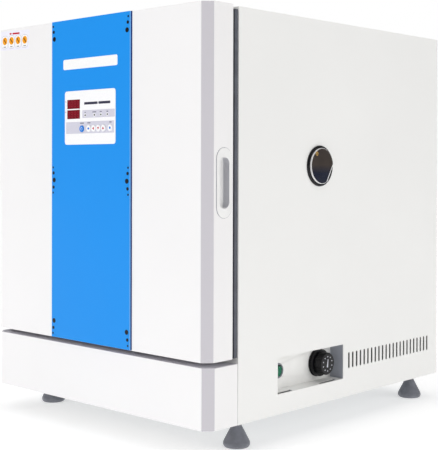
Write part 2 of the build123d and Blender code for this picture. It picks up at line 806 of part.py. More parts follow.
gasket_left = pivot_x + 0.5
gasket_right = side - 1.5
gasket_low = door_bottom + 0.5
gasket_high = top - 4.5
gasket_width = 22
gasket_step = 5
with BuildPart() as door_gasket:
    block(
        (gasket_left + 3, door_rear, gasket_low + 3),
        (gasket_right - 3, door_rear + gasket_step, gasket_high - 3),
    )
    block(
        (gasket_left, door_rear + gasket_step, gasket_low),
        (gasket_right, front - 0.4, gasket_high),
    )
    cut_block(
        (gasket_left + gasket_width, door_rear - 1, gasket_low + gasket_width),
        (gasket_right - gasket_width, front, gasket_high - gasket_width),
    )
write(door_gasket, "door_gasket")

with BuildPart() as handle_cup:
    with BuildSketch(upright((side, pull_y, pull_z), "x")):
        SlotOverall(pull_length, pull_width)
    extrude(amount=0.8)
    with BuildSketch(upright((side, pull_y, pull_z), "x")):
        SlotOverall(pull_length - 8, pull_width - 8)
    extrude(amount=-recess_depth - 1.5)
    with BuildSketch(upright((side + 0.8, pull_y, pull_z), "x")):
        SlotOverall(recess_length, recess_width)
    extrude(amount=-recess_depth, mode=Mode.SUBTRACT)
    recess_floor = handle_cup.faces().filter_by(Axis.X).sort_by(Axis.X)[1]
    fillet(recess_floor.edges(), 4)
    fillet(handle_cup.faces().sort_by(Axis.X)[-1].edges(), 0.6)
write(handle_cup, "handle_cup")

with BuildPart() as door_harness:
    cable(
        [
            (-60, board_face + 4.3, overlay_low + 23),
            (-225, board_face + 4.3, overlay_low + 23),
            (-246, board_face + 4.3, overlay_low),
            (-246, board_face + 4.3, door_bottom + 90),
            (pivot_x, pivot_y, door_bottom + 60),
            (pivot_x, pivot_y, plinth_top + 0.3),
        ],
        1.8,
        9,
    )
write(door_harness, "door_harness")
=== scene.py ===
import json
from math import cos, radians, sin

import bmesh
import bpy
from mathutils import Matrix, Vector


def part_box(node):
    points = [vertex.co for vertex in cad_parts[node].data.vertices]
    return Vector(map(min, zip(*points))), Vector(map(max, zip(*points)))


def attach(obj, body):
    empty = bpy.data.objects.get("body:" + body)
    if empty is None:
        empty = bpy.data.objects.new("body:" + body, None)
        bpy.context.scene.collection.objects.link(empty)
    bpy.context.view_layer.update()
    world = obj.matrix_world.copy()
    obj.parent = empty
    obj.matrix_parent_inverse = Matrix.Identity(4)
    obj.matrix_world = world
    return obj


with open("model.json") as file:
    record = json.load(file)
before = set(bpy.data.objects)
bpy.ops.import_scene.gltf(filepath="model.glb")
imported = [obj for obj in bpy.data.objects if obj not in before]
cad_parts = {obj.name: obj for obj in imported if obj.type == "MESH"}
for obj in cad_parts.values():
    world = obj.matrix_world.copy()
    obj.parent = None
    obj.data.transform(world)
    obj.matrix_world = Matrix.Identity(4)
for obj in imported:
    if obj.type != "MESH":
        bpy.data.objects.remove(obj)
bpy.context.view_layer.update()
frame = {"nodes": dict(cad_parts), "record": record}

MM = 0.001
NODES = frame["nodes"]

# ---- camera: on the corner between the door and the control side, level with the pull ----
CAMERA_PLACE = Vector((1.3324, -1.4314, 0.4396))
CAMERA_AZIMUTH = radians(43.11)
CAMERA_PITCH = radians(-0.426)
CAMERA_ROLL = radians(0.136)
CAMERA_LENS = 83.39
CAMERA_SHIFT = -0.1113


def add_camera():
    """Places the camera from its azimuth, pitch and roll."""
    right = Vector((cos(CAMERA_AZIMUTH), sin(CAMERA_AZIMUTH), 0))
    level = Vector((-sin(CAMERA_AZIMUTH), cos(CAMERA_AZIMUTH), 0))
    ahead = level * cos(CAMERA_PITCH) + Vector((0, 0, sin(CAMERA_PITCH)))
    up = right.cross(ahead)
    rolled_right = right * cos(CAMERA_ROLL) + up * sin(CAMERA_ROLL)
    rolled_up = up * cos(CAMERA_ROLL) - right * sin(CAMERA_ROLL)
    data = bpy.data.cameras.new("camera")
    data.lens = CAMERA_LENS
    data.sensor_width = 36
    data.shift_y = CAMERA_SHIFT
    data.clip_end = 60
    camera = bpy.data.objects.new("camera", data)
    turn = Matrix((rolled_right, rolled_up, -ahead)).transposed()
    camera.matrix_world = Matrix.Translation(CAMERA_PLACE) @ turn.to_4x4()
    bpy.context.scene.collection.objects.link(camera)
    bpy.context.scene.camera = camera


add_camera()


# ---- materials ----
SPECULAR = "Specular IOR Level"


def linear(code):
    """A colour written as RRGGBB, as linear RGBA."""
    parts = [int(code[i : i + 2], 16) / 255 for i in (0, 2, 4)]
    return [c / 12.92 if c <= 0.04045 else ((c + 0.055) / 1.055) ** 2.4 for c in parts] + [1]


def scaled(colour, factor):
    """A colour made darker or lighter."""
    return [min(1, c * factor) for c in colour[:3]] + [1]


class Shader:
    """A material with a Principled shader and short ways to add procedural detail."""

    def __init__(self, name, code, roughness, metallic=0.0):
        self.material = bpy.data.materials.new(name)
        self.material.use_nodes = True
        self.tree = self.material.node_tree
        self.bsdf = self.tree.nodes["Principled BSDF"]
        self.colour = linear(code)
        self.roughness = roughness
        self.bsdf.inputs["Base Color"].default_value = self.colour
        self.bsdf.inputs["Roughness"].default_value = roughness
        self.bsdf.inputs["Metallic"].default_value = metallic
        self.place = self.tree.nodes.new("ShaderNodeTexCoord")
        self.material.diffuse_color = self.colour

    def set(self, socket, value):
        """Sets one number or colour on the shader itself."""
        self.bsdf.inputs[socket].default_value = value
        return self

    def link(self, start, end):
        """Joins an output to an input."""
        self.tree.links.new(start, end)

    def noise(self, scale, detail=2.0, stretch=(1, 1, 1), distortion=0.0):
        """Noise over the object's own coordinates; scale is in cycles per metre."""
        mapping = self.tree.nodes.new("ShaderNodeMapping")
        mapping.inputs["Scale"].default_value = stretch
        self.link(self.place.outputs["Object"], mapping.inputs["Vector"])
        noise = self.tree.nodes.new("ShaderNodeTexNoise")
        noise.inputs["Scale"].default_value = scale
        noise.inputs["Detail"].default_value = detail
        noise.inputs["Distortion"].default_value = distortion
        self.link(mapping.outputs["Vector"], noise.inputs["Vector"])
        return noise.outputs["Fac"]

    def cells(self, scale, feature="F1"):
        """Voronoi cells over the object's own coordinates."""
        cells = self.tree.nodes.new("ShaderNodeTexVoronoi")
        cells.feature = feature
        cells.inputs["Scale"].default_value = scale
        self.link(self.place.outputs["Object"], cells.inputs["Vector"])
        return cells.outputs["Distance"]

    def remap(self, value, low, high, start=0.3, end=0.7):
        """Maps a 0..1 pattern to a range."""
        node = self.tree.nodes.new("ShaderNodeMapRange")
        node.inputs["From Min"].default_value = start
        node.inputs["From Max"].default_value = end
        node.inputs["To Min"].default_value = low
        node.inputs["To Max"].default_value = high
        self.link(value, node.inputs["Value"])
        return node.outputs["Result"]

    def mixed(self, factor, first, second):
        """Mixes two colours, each a value or a socket."""
        node = self.tree.nodes.new("ShaderNodeMix")
        node.data_type = "RGBA"
        self.link(factor, node.inputs[0])
        for socket, colour in ((node.inputs[6], first), (node.inputs[7], second)):
            if isinstance(colour, list):
                socket.default_value = colour
            else:
                self.link(colour, socket)
        return node.outputs[2]

    def mottle(self, scale, amount, second=None, detail=3.0):
        """Varies the base colour softly, towards a second colour if one is given."""
        first = scaled(self.colour, 1 - amount)
        last = linear(second) if second else scaled(self.colour, 1 + amount)
        factor = self.remap(self.noise(scale, detail), 0, 1)
        self.tint = self.mixed(factor, first, last)
        self.link(self.tint, self.bsdf.inputs["Base Color"])
        return self

    def smudge(self, scale, amount, stretch=(1, 1, 1)):
        """Varies the roughness."""
        low = max(0.02, self.roughness - amount)
        high = min(1, self.roughness + amount)
        self.link(self.remap(self.noise(scale, 4, stretch), low, high), self.bsdf.inputs["Roughness"])
        return self

    def bump(self, height, depth, strength=1.0):
        """Adds relief; depth is in metres. Bumps chain, the last one feeding the shader."""
        node = self.tree.nodes.new("ShaderNodeBump")
        node.inputs["Strength"].default_value = strength
        node.inputs["Distance"].default_value = depth
        self.link(height, node.inputs["Height"])
        normal = self.bsdf.inputs["Normal"]
        if normal.is_linked:
            self.link(normal.links[0].from_socket, node.inputs["Normal"])
        self.link(node.outputs["Normal"], normal)
        return self


def powder_paint(name, code, roughness=0.4, peel=0.00006):
    """Baked powder coat: fine orange peel, a slow drift of tone and uneven sheen."""
    shader = Shader(name, code, roughness)
    shader.mottle(5, 0.012).smudge(9, 0.05)
    shader.bump(shader.noise(420, 2), peel, 0.5)
    shader.bump(shader.noise(1900, 1), peel * 0.4, 0.4)
    return shader


def size_of(shader, output):
    """The size of one component of an object-space vector, without its sign."""
    node = shader.tree.nodes.new("ShaderNodeMath")
    node.operation = "ABSOLUTE"
    shader.link(output, node.inputs[0])
    return node.outputs["Value"]


def parts_of(shader, vector):
    """The x, y and z outputs of the shader's own Normal or Object coordinates."""
    split = shader.tree.nodes.new("ShaderNodeSeparateXYZ")
    shader.link(shader.place.outputs[vector], split.inputs["Vector"])
    return split.outputs


def repainted(shader, mask, code):
    """Paints a second tone where a mask is 1."""
    shader.tint = shader.mixed(mask, shader.tint, linear(code))
    shader.link(shader.tint, shader.bsdf.inputs["Base Color"])
    return shader


def facet_shading_mask(shader):
    """1 on upright faces that look along a diagonal, such as a corner chamfer: where the facet shading is
    painted.
    """
    normal = parts_of(shader, "Normal")
    least = shader.tree.nodes.new("ShaderNodeMath")
    least.operation = "MINIMUM"
    shader.link(size_of(shader, normal["X"]), least.inputs[0])
    shader.link(size_of(shader, normal["Y"]), least.inputs[1])
    return shader.remap(least.outputs["Value"], 0, 1, 0.55, 0.66)


def paint_facet_shading(shader, code):
    """Paints the upright corner facets in a second tone that stands in for how the light falls on them:
    painted shading.
    """
    return repainted(shader, facet_shading_mask(shader), code)


def paint_edge_shade(shader, code, start):
    """Paints what lies further than a distance from the middle plane x = 0 in a second tone: painted shade
    along the outer edges.
    """
    reach = size_of(shader, parts_of(shader, "Object")["X"])
    return repainted(shader, shader.remap(reach, 0, 1, start, start + 0.0001), code)


def paint_shade_facing(shader, code, axis, start=-0.6, end=-0.8):
    """Paints a darker tone on the faces whose normal points along an axis: painted shade."""
    value = parts_of(shader, "Normal")[axis]
    return repainted(shader, shader.remap(value, 0, 1, start, end), code)


def brushed(name, code, roughness, stretch):
    """Brushed sheet: long fine scratches along the axis whose stretch is small."""
    shader = Shader(name, code, roughness, metallic=1.0)
    shader.set("Anisotropic", 0.5)
    shader.mottle(7, 0.04).smudge(900, 0.04, stretch)
    shader.bump(shader.noise(1400, 3, stretch), 0.00001, 0.3)
    return shader


def plain_metal(name, code, roughness, grain=500):
    """Turned, drawn or plated metal with faint tarnish."""
    shader = Shader(name, code, roughness, metallic=1.0)
    shader.mottle(60, 0.08).smudge(140, 0.08)
    shader.bump(shader.noise(grain, 3), 0.00002, 0.5)
    return shader


def moulded(name, code, roughness=0.45, grain=1500, depth=0.00003):
    """Moulded plastic with a fine spark-eroded grain."""
    shader = Shader(name, code, roughness)
    shader.mottle(30, 0.04).smudge(60, 0.06)
    shader.bump(shader.cells(grain), depth, 0.4)
    return shader


def rubber(name, code, roughness=0.6, dust="8c8f96"):
    """Moulded rubber with a dusty bloom in patches."""
    shader = Shader(name, code, roughness)
    shader.mottle(70, 0.15).smudge(90, 0.1)
    bloom = shader.remap(shader.noise(45, 6, distortion=0.4), 0, 0.12, 0.5, 0.8)
    shader.link(shader.mixed(bloom, shader.tint, linear(dust)), shader.bsdf.inputs["Base Color"])
    shader.bump(shader.noise(900, 3), 0.00005, 0.6)
    return shader


def mineral_wool(name, code):
    """Felted fibre blanket."""
    shader = Shader(name, code, 0.95)
    shader.mottle(90, 0.2, "e9dfae", 6)
    shader.bump(shader.noise(160, 8, distortion=1.5), 0.003, 0.9)
    shader.bump(shader.noise(900, 4, (1, 0.2, 1)), 0.0006, 0.7)
    return shader


def circuit_board(name, code):
    """Solder mask over faint copper tracks."""
    shader = Shader(name, code, 0.35)
    shader.mottle(300, 0.25, "0c5a34", 2)
    shader.bump(shader.cells(260, "DISTANCE_TO_EDGE"), 0.0001, 0.5)
    return shader


def printed(name, code, roughness=0.42):
    """Screen-printed ink."""
    shader = Shader(name, code, roughness)
    shader.mottle(500, 0.03)
    shader.bump(shader.noise(2500, 1), 0.000008, 0.5)
    return shader.set(SPECULAR, 0.3)


def vent_shade_sheet(name, code):
    """Near-black sheet with a fine cell bump: painted shade seen through the vents."""
    shader = Shader(name, code, 0.7)
    shader.mottle(200, 0.2)
    shader.bump(shader.cells(900), 0.0003, 0.8)
    return shader.set(SPECULAR, 0.05)


def display_lens(name, code):
    """Dark red filter window over a dot-textured diffuser."""
    shader = Shader(name, code, 0.16)
    shader.mottle(700, 0.35, "8e0420", 1)
    shader.set("Coat Weight", 0.2).set("Coat Roughness", 0.05).set(SPECULAR, 0.3)
    shader.bump(shader.cells(1100), 0.00003, 0.4)
    return shader


def smoked_gloss(name, code, roughness, coat):
    """Polished near-black plastic with faint wipe marks."""
    shader = Shader(name, code, roughness)
    shader.mottle(40, 0.15).smudge(120, 0.04, (1, 0.3, 1))
    shader.set(SPECULAR, 0.3).set("Coat Weight", coat).set("Coat Roughness", 0.03)
    shader.bump(shader.noise(70, 2), 0.00002, 0.3)
    return shader


# Painted shade on the door's and plinth's corner chamfers.
FACET_SHADE = "d3d0d6"
# Painted shade along the fascia's outer edge, the painted highlight on its chamfer, and the width of the
# shade line.
EDGE_SHADE = "0d2c74"
EDGE_HIGHLIGHT = "74b4f5"
SHADE_LINE_WIDTH = 0.0013


def fascia_paint():
    """Blue paint, with a painted highlight on its chamfer and a painted shade line along its outer edge."""
    shader = powder_paint("blue_paint", "1a93ee", 0.36, 0.00003)
    paint_facet_shading(shader, EDGE_HIGHLIGHT)
    half_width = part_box("blue_fascia")[1][0]
    paint_edge_shade(shader, EDGE_SHADE, half_width - SHADE_LINE_WIDTH)
    return shader.set(SPECULAR, 0.2)


def pocket_plastic_shaded():
    """White moulding with painted shade on its end wall."""
    return paint_shade_facing(moulded("white_plastic", "f4f4f2", 0.42), "a9adb8", "Y")


def pull_moulding_shaded():
    """White moulding with painted shade on the faces that look forwards."""
    shader = moulded("pull_plastic", "f2f2f1", 0.36)
    return paint_shade_facing(shader, "b4b4ba", "Y", -0.35, -0.6)


def plinth_paint():
    """The door's paint, with painted shade on its corner chamfers and on the shelf under the door's edge."""
    shader = paint_facet_shading(powder_paint("plinth_paint", "f5f4f4"), FACET_SHADE)
    return paint_shade_facing(shader, "d4d2da", "Z", 0.6, 0.8)


def cover_with_painted_light():
    """Smoked disc with a painted reflection, brown above and navy below, and a painted highlight on its
    edge.
    """
    shader = smoked_gloss("smoked_mirror", "3a322d", 0.12, 0.15)
    height = parts_of(shader, "Object")["Z"]
    low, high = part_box("port_cover")
    middle = (low[2] + high[2]) / 2
    # Painted reflection: navy on the lower part of the disc.
    repainted(shader, shader.remap(height, 0, 1, middle + 0.002, middle - 0.012), "10172c")
    outward = parts_of(shader, "Normal")["X"]
    # Painted highlight on the faces that turn away from the disc's face, round its edge.
    return repainted(shader, shader.remap(outward, 1, 0, 0.8, 0.95), "f0efee")


PALETTE = {
    "cabinet_paint": powder_paint("cabinet_paint", "f3f3f1"),
    # door paint, with painted shade on its corner chamfers
    "door_paint": paint_facet_shading(powder_paint("door_paint", "f5f4f4"), FACET_SHADE),
    "blue_paint": fascia_paint(),
    "galvanised": plain_metal("galvanised", "b4b8ba", 0.5, 200),
    "zinc_steel": plain_metal("zinc_steel", "b9bbbd", 0.35),
    "stainless": brushed("stainless", "c3c3c1", 0.3, (0.02, 1, 1)),
    "bright_wire": plain_metal("bright_wire", "d4d5d6", 0.14),
    "mineral_wool": mineral_wool("mineral_wool", "c9bd84"),
    "motor_paint": powder_paint("motor_paint", "26272a", 0.45),
    "fan_aluminium": brushed("fan_aluminium", "c9ccce", 0.35, (1, 1, 0.02)),
    "heater_sheath": plain_metal("heater_sheath", "5b4f48", 0.5, 300),
    "copper_tube": plain_metal("copper_tube", "b8714a", 0.3),
    "brass": plain_metal("brass", "f0ca78", 0.22),
    "black_chrome": smoked_gloss("black_chrome", "0a0a10", 0.2, 0.1),
    "smoked_mirror": cover_with_painted_light(),
    # pocket moulding, with painted shade on its end wall
    "white_plastic": pocket_plastic_shaded(),
    "grey_plastic": moulded("grey_plastic", "7f838a", 0.3),
    "green_plastic": moulded("green_plastic", "006b4c", 0.25, 900, 0.00001).set(SPECULAR, 0.3),
    "black_plastic": moulded("black_plastic", "08080c", 0.36).set(SPECULAR, 0.3),
    "foot_rubber": rubber("foot_rubber", "7c7e86", 0.36, "9fa1a8"),
    "gasket_rubber": rubber("gasket_rubber", "575a63", 0.55, "777a82"),
    "cable_black": rubber("cable_black", "151515"),
    "circuit_board": circuit_board("circuit_board", "0a4a2a"),
    "overlay_film": printed("overlay_film", "fbfbfd", 0.3),
    "display_red": display_lens("display_red", "78001a"),
    "key_blue": printed("key_blue", "0a7ede", 0.35),
    "key_white": printed("key_white", "fbfbff", 0.35),
    # pull moulding, with painted shade on its forward faces
    "pull_plastic": pull_moulding_shaded(),
}
INKS = {
    "ink_lavender": printed("ink_lavender", "d3d2df"),
    # Painted shade in screw recesses.
    "ink_recess_shade": printed("ink_recess_shade", "2a2b38"),
    "ink_title": printed("ink_title", "35344a"),
    "ink_red": printed("ink_red", "c4102e"),
    "ink_blue": printed("ink_blue", "0a74d6"),
    "ink_white": printed("ink_white", "fafafa"),
    "ink_amber": printed("ink_amber", "f6a300"),
    "ink_outline": printed("ink_outline", "b7b4cf"),
    "sticker": printed("sticker", "f2f1fb", 0.35),
    "segment_red": printed("segment_red", "8c0822", 0.3),
    "ink_grey": printed("ink_grey", "62637a"),
    "ink_brown": printed("ink_brown", "7a3a12"),
    # Painted shade in the groove round the pull.
    "ink_groove_shade": printed("ink_groove_shade", "a5a5ad"),
    "dial_ink": printed("dial_ink", "d3d4de"),
    # Painted shade behind the vent slots.
    "vent_shade_sheet": vent_shade_sheet("vent_shade_sheet", "050508"),
    # Painted highlight on the port cover's cut edge.
    "lip_highlight": printed("lip_highlight", "eeeeee", 0.2),
}
OWN_FINISHES = {
    "plinth_cover": plinth_paint(),
    "hinge_brackets": plain_metal("blackened_steel", "24252b", 0.5),
    "led_indicators": moulded("unlit_lamp", "0b0b16", 0.3),
    "hinge_bushes": moulded("black_nylon", "1b1c20", 0.4),
}


def dress_nodes():
    """Gives every CAD node the material of its slot, or its own finish."""
    slots = {part["node"]: part["material_slot"] for part in frame["record"]["subparts"]}
    for name, node in NODES.items():
        node.data.materials.clear()
        finish = OWN_FINISHES.get(name) or PALETTE[slots[name]]
        node.data.materials.append(finish.material)


dress_nodes()


# ---- soft edges on the folded, moulded and machined nodes ----
WELD_GAP = 0.000005
SHARP_ANGLE = radians(35)


def soften(node, width):
    """Rounds a node's sharp edges by a width in millimetres."""
    piece = NODES[node]
    weld = piece.modifiers.new("weld", "WELD")
    weld.merge_threshold = WELD_GAP
    bevel = piece.modifiers.new("bevel", "BEVEL")
    bevel.width = width * MM
    bevel.segments = 2
    bevel.limit_method = "ANGLE"
    bevel.angle_limit = SHARP_ANGLE
    bevel.harden_normals = True


EDGE_WIDTHS = {
    "port_cover": 1.1,
    "port_bezel": 0.5,
    "limiter_knob": 0.4,
    "limiter_bezel": 0.4,
    "power_switch_body": 0.3,
    "door_shell": 0.5,
    "plinth_cover": 0.5,
    "control_pocket": 0.4,
    "door_gasket": 0.8,
}
for edged_node, edge_width in EDGE_WIDTHS.items():
    soften(edged_node, edge_width)


# ---- mesh helpers ----
INK = 0.05
THIN_INK = 0.04
FRONT = (Vector((1, 0, 0)), Vector((0, 0, 1)), Vector((0, -1, 0)))
RIGHT = (Vector((0, 1, 0)), Vector((0, 0, 1)), Vector((1, 0, 0)))
BACK = (Vector((-1, 0, 0)), Vector((0, 0, 1)), Vector((0, 1, 0)))


def link_mesh(name, mesh_data, finish, body):
    """Makes an object of a bmesh, with a finish, and lets it ride on a CAD body."""
    data = bpy.data.meshes.new(name)
    bmesh.ops.recalc_face_normals(mesh_data, faces=mesh_data.faces)
    mesh_data.to_mesh(data)
    mesh_data.free()
    piece = bpy.data.objects.new(name, data)
    piece.data.materials.append(finish.material)
    bpy.context.scene.collection.objects.link(piece)
    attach(piece, body)
    return piece


def arc(radius, start, end, centre=(0, 0), count=24):
    """Points along an arc, in millimetres and degrees."""
    angles = [radians(start + (end - start) * i / count) for i in range(count + 1)]
    return [(centre[0] + radius * cos(a), centre[1] + radius * sin(a)) for a in angles]


def disc(radius, centre=(0, 0), count=40):
    """A circle's outline, in millimetres."""
    return arc(radius, 0, 360, centre, count)[:-1]


def bar(width, height, radius, centre=(0, 0)):
    """A rounded rectangle's outline, in millimetres."""
    half_width = width / 2 - radius
    half_height = height / 2 - radius
    outline = []
    for quarter, (side_u, side_v) in enumerate(((1, 1), (-1, 1), (-1, -1), (1, -1))):
        corner = (centre[0] + side_u * half_width, centre[1] + side_v * half_height)
        outline += arc(radius, quarter * 90, quarter * 90 + 90, corner, 6)
    return outline


def turned_about(outline, degrees, centre):
    """An outline turned about a point."""
    c, s = cos(radians(degrees)), sin(radians(degrees))
    moved = [(u - centre[0], v - centre[1]) for u, v in outline]
    return [(centre[0] + u * c - v * s, centre[1] + u * s + v * c) for u, v in moved]


def rim_at(mesh_data, outline, plane, level=0):
    """New vertices along an outline, at a level in millimetres off a plane."""
    origin, (across, up, out) = plane
    return [mesh_data.verts.new(origin + (across * u + up * v + out * level) * MM) for u, v in outline]


def add_walls(mesh_data, foot, head):
    """Faces between two rims of as many vertices."""
    for i in range(len(foot)):
        j = (i + 1) % len(foot)
        mesh_data.faces.new((foot[i], foot[j], head[j], head[i]))


def raised(name, outlines, plane, finish, body, height=INK):
    """Thin closed prints or plates: each outline stands a height in millimetres off a plane."""
    mesh_data = bmesh.new()
    for outline in outlines:
        foot = rim_at(mesh_data, outline, plane)
        head = rim_at(mesh_data, outline, plane, height)
        mesh_data.faces.new(head)
        mesh_data.faces.new(foot[::-1])
        add_walls(mesh_data, foot, head)
    return link_mesh(name, mesh_data, finish, body)


def bands(name, pairs, plane, finish, body, height=INK):
    """Thin closed rings, each between an inner and an outer outline of as many points."""
    mesh_data = bmesh.new()
    for inner, outer in pairs:
        corners = ((inner, 0), (outer, 0), (outer, height), (inner, height))
        rims = [rim_at(mesh_data, outline, plane, level) for outline, level in corners]
        for first, second in zip(rims, rims[1:] + rims[:1]):
            add_walls(mesh_data, first, second)
    return link_mesh(name, mesh_data, finish, body)


def pierced(name, outline, holes, plane, finish, body, height=INK):
    """A thin closed print or plate with holes through it."""
    mesh_data = bmesh.new()
    levels = []
    for level in (0, height):
        rims = [rim_at(mesh_data, points, plane, level) for points in (outline, *holes)]
        edges = [mesh_data.edges.new((rim[i - 1], rim[i])) for rim in rims for i in range(len(rim))]
        bmesh.ops.triangle_fill(mesh_data, use_beauty=True, edges=edges)
        levels.append(rims)
    for foot, head in zip(*levels):
        add_walls(mesh_data, foot, head)
    return link_mesh(name, mesh_data, finish, body)


def outlined(width, height, radius, line, centre=(0, 0)):
    """The inner and outer outlines of a rounded frame."""
    inner = bar(width - 2 * line, height - 2 * line, max(0.1, radius - line), centre)
    return inner, bar(width, height, radius, centre)


def front_plane(node, gap=0.0):
    """The plane on a node's front, with u = x and v = z in millimetres."""
    return Vector((0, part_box(node)[0][1] - gap * MM, 0)), FRONT


def right_plane(node, gap=0.0):
    """The plane on a node's right side, with u = y and v = z in millimetres."""
    return Vector((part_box(node)[1][0] + gap * MM, 0, 0)), RIGHT


def corners_of(node):
    """The lowest and highest corners of a node's box, in millimetres."""
    return [Vector(corner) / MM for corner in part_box(node)]


def centre_of(node):
    """The middle of a node's box, in millimetres."""
    low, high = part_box(node)
    return (Vector(low) + Vector(high)) / 2 / MM


# ---- name strip and top label on the door: plain shapes, no words ----
STRIP_SIZE = (138, 17)
STRIP_DROP = 75.3
LABEL_SIZE = (86, 34.4)
LABEL_INSET = 57
LABEL_DROP = 21.3
LABEL_TILT = -1.8
LABEL_PITCH = 19.8
TAB_SIZE = (18.4, 23)
FRAME_SIZE = (19, 23.6)
FRAME_LINE = 0.6
SPOT_RADIUS = 6.8
STROKE_TURN = -48
PAPER_LEVEL = 0.12
TAB_LEVEL = 0.16
SPOT_LEVEL = 0.22


def add_name_strip():
    """A plain white bar high on the fascia."""
    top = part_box("blue_fascia")[1][2] / MM
    strip = bar(*STRIP_SIZE, 3, (0.9, top - STRIP_DROP))
    raised("name_strip", [strip], front_plane("blue_fascia"), INKS["ink_white"], "door", 0.1)


def label_middle():
    """The middle of the top label, in millimetres."""
    low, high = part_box("door_shell")
    return low[0] / MM + LABEL_INSET, high[2] / MM - LABEL_DROP


def stuck(outlines):
    """Outlines turned a little, as the label is stuck on crooked."""
    return [turned_about(outline, LABEL_TILT, label_middle()) for outline in outlines]


def add_label_part(name, outlines, level, ink, height):
    """One print of the top label, at a level in millimetres off the door."""
    plane = front_plane("door_shell", level)
    raised("label_" + name, stuck(outlines), plane, INKS[ink], "door", height)


def add_label_frames(tabs):
    """An outline round each tab."""
    pairs = [stuck(outlined(*FRAME_SIZE, 6.8, FRAME_LINE, tab)) for tab in tabs]
    plane = front_plane("door_shell", PAPER_LEVEL)
    bands("label_frames", pairs, plane, INKS["ink_outline"], "door", THIN_INK)


def add_top_label():
    """A sticker with two red bars over four tabs, each with an amber disc and a dash."""
    middle = label_middle()
    tabs = [(middle[0] + LABEL_PITCH * (index - 1.5), middle[1] - 2.6) for index in range(4)]
    spots = [(u, v + 2.1) for u, v in tabs]
    strokes = [turned_about(bar(11, 2.1, 0.8, spot), STROKE_TURN, spot) for spot in spots]
    dashes = [bar(7, 1.3, 0.5, (u, v - 8.4)) for u, v in tabs]
    red_z = middle[1] + 12.2
    red_bars = [bar(5.5, 3, 0.8, (middle[0] - 13, red_z)), bar(21, 3, 0.8, (middle[0] + 3.4, red_z))]
    add_label_part("sheet", [bar(*LABEL_SIZE, 2.5, middle)], 0, "sticker", PAPER_LEVEL)
    add_label_part("tabs", [bar(*TAB_SIZE, 6.5, tab) for tab in tabs], PAPER_LEVEL, "ink_white", 0.03)
    add_label_frames(tabs)
    add_label_part("discs", [disc(SPOT_RADIUS, spot) for spot in spots], TAB_LEVEL, "ink_amber", 0.06)
    add_label_part("strokes", strokes, SPOT_LEVEL, "ink_brown", THIN_INK)
    add_label_part("dashes", dashes, TAB_LEVEL, "ink_grey", THIN_INK)
    add_label_part("red_bars", red_bars, PAPER_LEVEL, "ink_red", INK)


add_name_strip()
add_top_label()


# ---- prints on the control overlay ----
KEY_MARKS = {"mode": "ink_blue", "left": "ink_red", "down": "ink_red", "up": "ink_red", "set": "ink_blue"}
KEY_NODES = [name + "_key" for name in ("power", *KEY_MARKS)]
KEY_HOLE = 5.8
KEY_CAPTIONS = {"power": 10, "mode": 8, "set": 6}
LAMP_STEPS = (0, 23.3, 39.6, 55.9)
LAMP_RADIUS = 1.5
LAMP_CAPTIONS = (3, 10, 5, 4.5)
DIGIT_INSET = 4.4
DIGIT_PITCH = 7.9
ROW_HEIGHT = 15


def lamp_places():
    """The x of each lamp, in millimetres."""
    first_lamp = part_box("led_indicators")[0][0] / MM + LAMP_RADIUS
    return [first_lamp + step for step in LAMP_STEPS]


def add_overlay_strips():
    """The lilac strips under the lamps and round the keys, which pass through theirs."""
    film = front_plane("control_overlay")
    low, high = corners_of("control_overlay")
    lamp_strip = bar(81.5, 12.9, 1.2, (high.x - 42.3, centre_of("led_indicators").z + 2))
    raised("lamp_strip", [lamp_strip], film, INKS["ink_lavender"], "door", THIN_INK)
    key_row = centre_of("power_key").z
    key_strip = bar(122, 19.7, 0.5, ((low.x + high.x) / 2, key_row + 1.9))
    key_holes = [disc(KEY_HOLE, (centre_of(name).x, key_row)) for name in KEY_NODES]
    pierced("key_strip", key_strip, key_holes, film, INKS["ink_lavender"], "door", THIN_INK)


def add_overlay_title():
    """Two plain dark bars in the title's place."""
    high = corners_of("control_overlay")[1]
    title_z = high.z - 21.8
    title = [bar(34.2, 4.2, 1.1, (high.x - 61.3, title_z)), bar(29.5, 4.2, 1.1, (high.x - 27.4, title_z))]
    raised("title_bars", title, front_plane("control_overlay"), INKS["ink_title"], "door")


def add_overlay_captions():
    """Small grey bars over the lamps and keys, in the captions' places."""
    lamp_z = centre_of("led_indicators").z + 4.7
    key_z = centre_of("power_key").z + 9.3
    captions = [bar(width, 1.4, 0.5, (x, lamp_z)) for x, width in zip(lamp_places(), LAMP_CAPTIONS)]
    for name, width in KEY_CAPTIONS.items():
        captions.append(bar(width, 1.5, 0.5, (centre_of(name + "_key").x, key_z)))
    strips = front_plane("control_overlay", THIN_INK)
    raised("key_and_lamp_bars", captions, strips, INKS["ink_grey"], "door", THIN_INK)


def add_lamp_halos():
    """A white ring round each lamp."""
    lamp_row = centre_of("led_indicators").z
    halos = [(disc(1.7, (x, lamp_row)), disc(2.7, (x, lamp_row))) for x in lamp_places()]
    strips = front_plane("control_overlay", THIN_INK)
    bands("lamp_halos", halos, strips, INKS["ink_white"], "door", THIN_INK)


def add_display_dots():
    """A red dot beside each display."""
    left = corners_of("control_overlay")[0].x
    low, high = corners_of("display_modules")
    dots = [disc(0.9, (left + 2.5, z)) for z in (high.z - 3, low.z + 12)]
    raised("display_dots", dots, front_plane("control_overlay"), INKS["ink_red"], "door")


def add_power_mark():
    """An open ring and a stem on the power key."""
    middle = centre_of("power_key")
    x, z = middle.x, middle.z
    ring = arc(2.6, 125, 415, (x, z)) + arc(2.1, 415, 125, (x, z))
    stem = bar(0.7, 2.6, 0.3, (x, z + 2))
    raised("power_mark", [ring, stem], front_plane("power_key"), INKS["ink_white"], "power_key")


